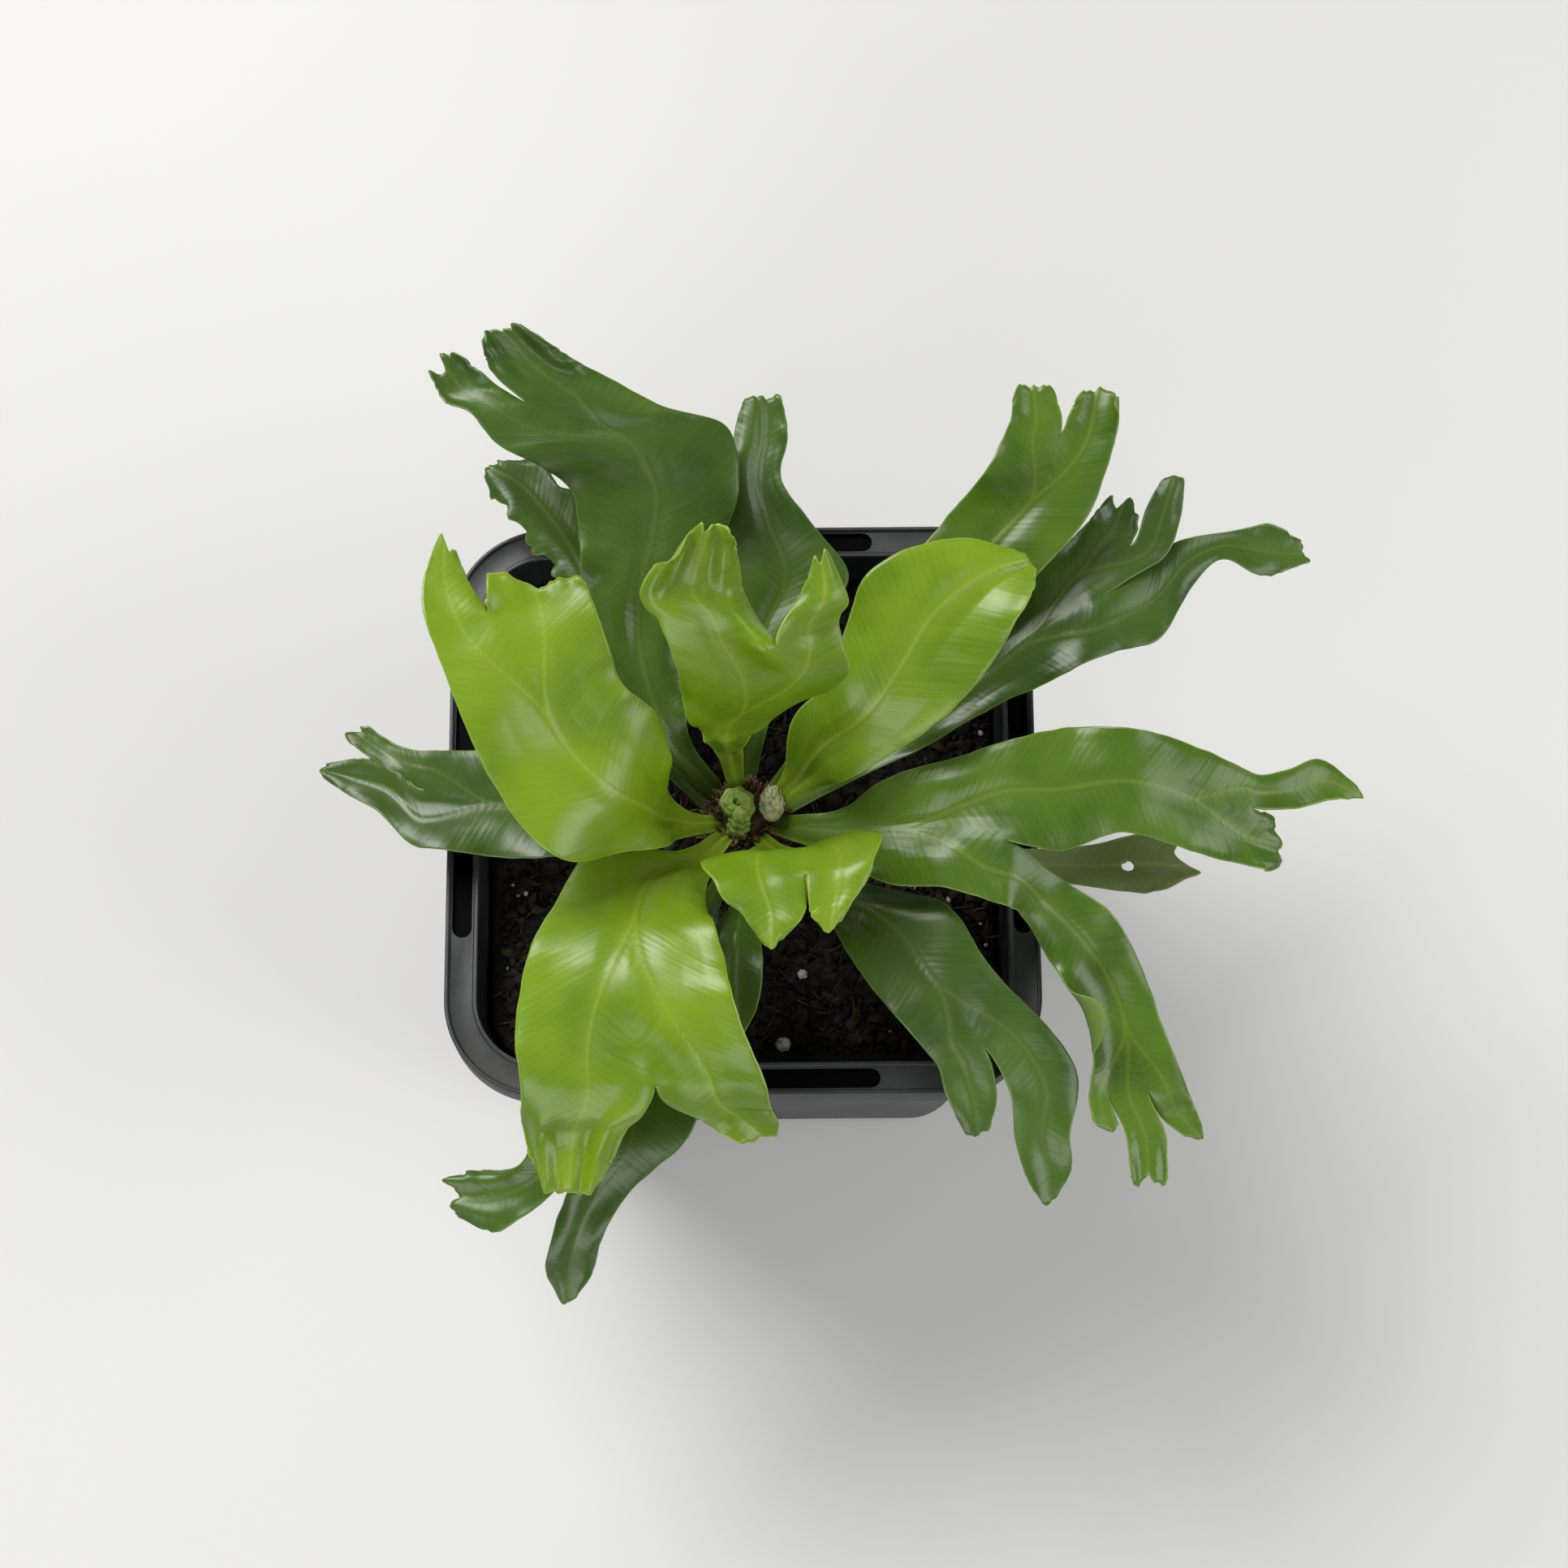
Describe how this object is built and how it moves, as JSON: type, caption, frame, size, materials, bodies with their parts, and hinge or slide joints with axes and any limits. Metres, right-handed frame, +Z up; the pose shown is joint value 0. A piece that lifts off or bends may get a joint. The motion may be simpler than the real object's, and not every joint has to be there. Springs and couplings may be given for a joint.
{
  "type": "potted fern",
  "caption": "Crested bird's nest fern with arching strap fronds that fork at their tips, growing in a square tapered nursery pot with a flat slotted rim.",
  "frame": {"origin": "centre of the pot's flat underside, in the plane that the pot stands on", "axes": "+Z up out of the pot; -Y is the front of the plant, the side with the large pale fronds that hang over the rim; +X is to the right seen from the front"},
  "size_m": [0.1553, 0.1383, 0.1346],
  "materials": {
    "pot_plastic": "satin charcoal moulded plastic",
    "potting_mix": "damp dark peat and fine bark",
    "perlite": "chalky white perlite grains",
    "bark": "rough composted bark",
    "rhizome": "fibrous brown root stock with papery scales",
    "shoot": "tender green shoot",
    "bud_scales": "pale papery scales",
    "frond_young": "glossy yellow-green young blade",
    "frond_mature": "glossy mid-green blade",
    "frond_dark": "glossy deep green older blade"
  },
  "bodies": {
    "root": {"pot": "pot_plastic", "potting_mix": "potting_mix", "perlite_1": "perlite", "perlite_2": "perlite", "perlite_3": "perlite", "perlite_4": "perlite", "bark_chip_1": "bark", "bark_chip_2": "bark", "rhizome": "rhizome", "crozier": "shoot", "young_bud": "bud_scales", "frond_back_left": "frond_dark", "frond_back_left_low": "frond_dark", "frond_back": "frond_dark", "frond_left_young": "frond_young", "frond_centre_young": "frond_young", "frond_right_young": "frond_young", "frond_back_right_forked": "frond_mature", "frond_right_back_crested": "frond_dark", "frond_right_forked": "frond_mature", "frond_right_low": "frond_mature", "frond_front_right_low": "frond_dark", "frond_front_left_young": "frond_young", "frond_front_low": "frond_dark", "frond_front_small": "frond_dark", "frond_front_young": "frond_young", "frond_left_low": "frond_dark"}
  },
  "joints": []
}
